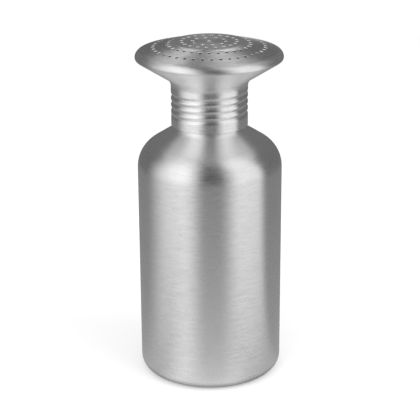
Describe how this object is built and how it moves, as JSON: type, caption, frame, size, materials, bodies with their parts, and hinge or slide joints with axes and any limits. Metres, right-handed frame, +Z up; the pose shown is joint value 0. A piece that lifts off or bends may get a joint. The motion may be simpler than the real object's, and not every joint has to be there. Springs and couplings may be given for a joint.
{
  "type": "spice shaker",
  "caption": "Aluminium bottle for dry seasoning with a screw-on funnel-shaped head, closed by a stepped dome of drilled holes that sprinkles the contents.",
  "frame": {"origin": "centre of the base, on the surface that the bottle stands on", "axes": "+Z up along the bottle's axis, +Y away from the viewer, +X to the viewer's right"},
  "size_m": [0.0858, 0.0858, 0.2019],
  "materials": {
    "body_aluminium": "fine turned grain, satin",
    "head_aluminium": "fine turned grain, satin",
    "seal": "matt soft ring"
  },
  "bodies": {
    "bottle": {"bottle": "body_aluminium"},
    "seal": {"sealing_washer": "seal"},
    "head": {"collar": "head_aluminium", "perforated_dome": "head_aluminium"}
  },
  "joints": [
    {"name": "head_lift", "type": "slide", "parent": "bottle", "child": "seal", "axis": [0, 0, 1], "range_m": [0, 0.0276]},
    {"name": "head_turn", "type": "hinge", "parent": "seal", "child": "head", "pos_m": [0, 0, 0.164], "axis": [0, 0, 1], "range_deg": [0, 2520]}
  ],
  "couplings": [
    {"joint": "head_lift", "follows": "head_turn", "m_per_rad": 0.0006207}
  ]
}
